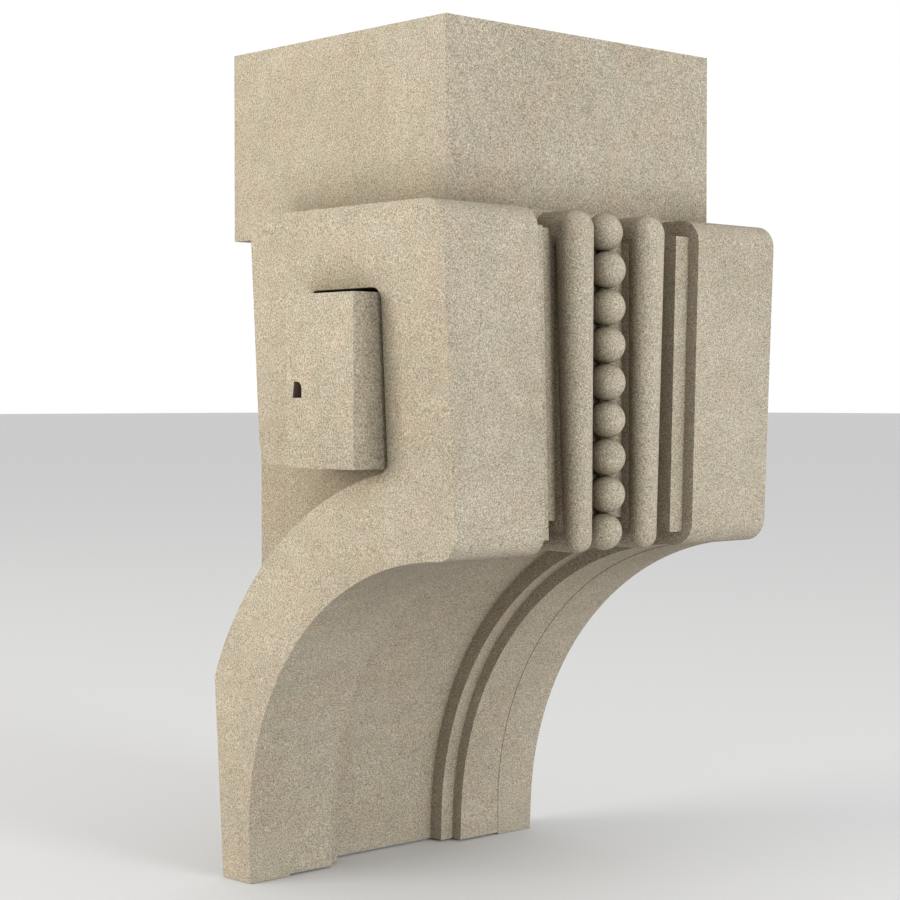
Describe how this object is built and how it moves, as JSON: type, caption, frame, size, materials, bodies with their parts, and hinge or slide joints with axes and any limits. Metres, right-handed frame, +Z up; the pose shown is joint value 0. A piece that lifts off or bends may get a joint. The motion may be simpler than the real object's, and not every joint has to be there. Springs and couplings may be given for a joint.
{
  "type": "stone corbel",
  "caption": "Carved stone corbel: square load block over scroll-shaped cheeks with side tablets, an arched underside and a beaded, rolled channel down the front.",
  "frame": {"origin": "on the flat wall face at the back, at mid width and mid height of the whole corbel", "axes": "+Z up, +Y out of the back face into the wall, so the beaded front looks along -Y; +X across"},
  "size_m": [0.3656, 0.2659, 0.599],
  "materials": {
    "stone": "matt, fine speckled grain, sandblasted or cast surface"
  },
  "bodies": {
    "root": {"corbel": "stone"}
  },
  "joints": []
}
